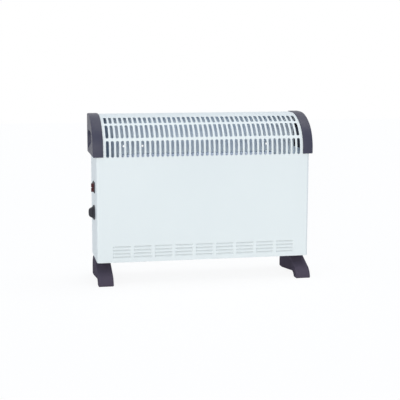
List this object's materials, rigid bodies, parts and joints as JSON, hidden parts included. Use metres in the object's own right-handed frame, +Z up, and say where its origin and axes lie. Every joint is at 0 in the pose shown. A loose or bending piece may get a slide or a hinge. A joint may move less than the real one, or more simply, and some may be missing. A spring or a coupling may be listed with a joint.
{
  "type": "electric convector heater",
  "caption": "Free-standing electric convector heater with a white folded-steel casing, a rolled outlet grille, dark end caps and feet, two rocker switches and a thermostat knob.",
  "frame": {"origin": "centre of the heater's footprint, on the floor under its feet", "axes": "+X to the right as the user faces the front, +Y from front to back, +Z up"},
  "size_m": [0.5224, 0.1587, 0.3855],
  "materials": {
    "white_paint": "satin white powder coat on sheet steel",
    "bare_steel": "plain galvanised sheet",
    "screw_steel": "zinc-plated screws",
    "cap_plastic": "finely textured dark grey moulding",
    "foot_plastic": "textured charcoal moulding",
    "knob_plastic": "satin charcoal moulding",
    "switch_plastic": "semi-gloss black moulding",
    "rocker_plastic": "glossy dark red key",
    "fin_aluminium": "plain extrusion",
    "insulator": "unglazed insulating bush",
    "insulation_plastic": "natural heat-resistant moulding",
    "brass": "plain",
    "black_plastic": "plain black moulding"
  },
  "bodies": {
    "heater": {"front_shell": "white_paint", "rear_panel": "white_paint", "bottom_plate": "bare_steel", "end_cap_left": "cap_plastic", "end_cap_right": "cap_plastic", "cap_screws": "screw_steel", "casing_screws": "screw_steel", "foot_left": "foot_plastic", "foot_right": "foot_plastic", "foot_screws": "screw_steel", "element_bracket_left": "bare_steel", "element_bracket_right": "bare_steel", "heat_shield": "bare_steel", "element_fins_lower": "fin_aluminium", "element_fins_upper": "fin_aluminium", "element_sheath_lower": "bare_steel", "element_sheath_upper": "bare_steel", "element_insulators": "insulator", "element_terminals": "bare_steel", "cutout_bracket": "bare_steel", "thermal_cutout": "black_plastic", "thermostat_body": "insulation_plastic", "thermostat_screws": "screw_steel", "switch_frame": "switch_plastic", "cable_gland": "black_plastic", "terminal_block": "insulation_plastic", "earth_screw": "brass"},
    "thermostat": {"thermostat_knob": "knob_plastic", "thermostat_spindle": "brass"},
    "switch_upper": {"rocker_upper": "rocker_plastic"},
    "switch_lower": {"rocker_lower": "rocker_plastic"}
  },
  "joints": [
    {"name": "thermostat_turn", "type": "hinge", "parent": "heater", "child": "thermostat", "pos_m": [-0.2505, 0, 0.16], "axis": [1, 0, 0], "range_deg": [0, 270]},
    {"name": "rocker_upper_tip", "type": "hinge", "parent": "heater", "child": "switch_upper", "pos_m": [-0.2499, 0, 0.2248], "axis": [0, 0, -1], "range_deg": [0, 22]},
    {"name": "rocker_lower_tip", "type": "hinge", "parent": "heater", "child": "switch_lower", "pos_m": [-0.2499, 0, 0.2142], "axis": [0, 0, -1], "range_deg": [0, 22]}
  ]
}
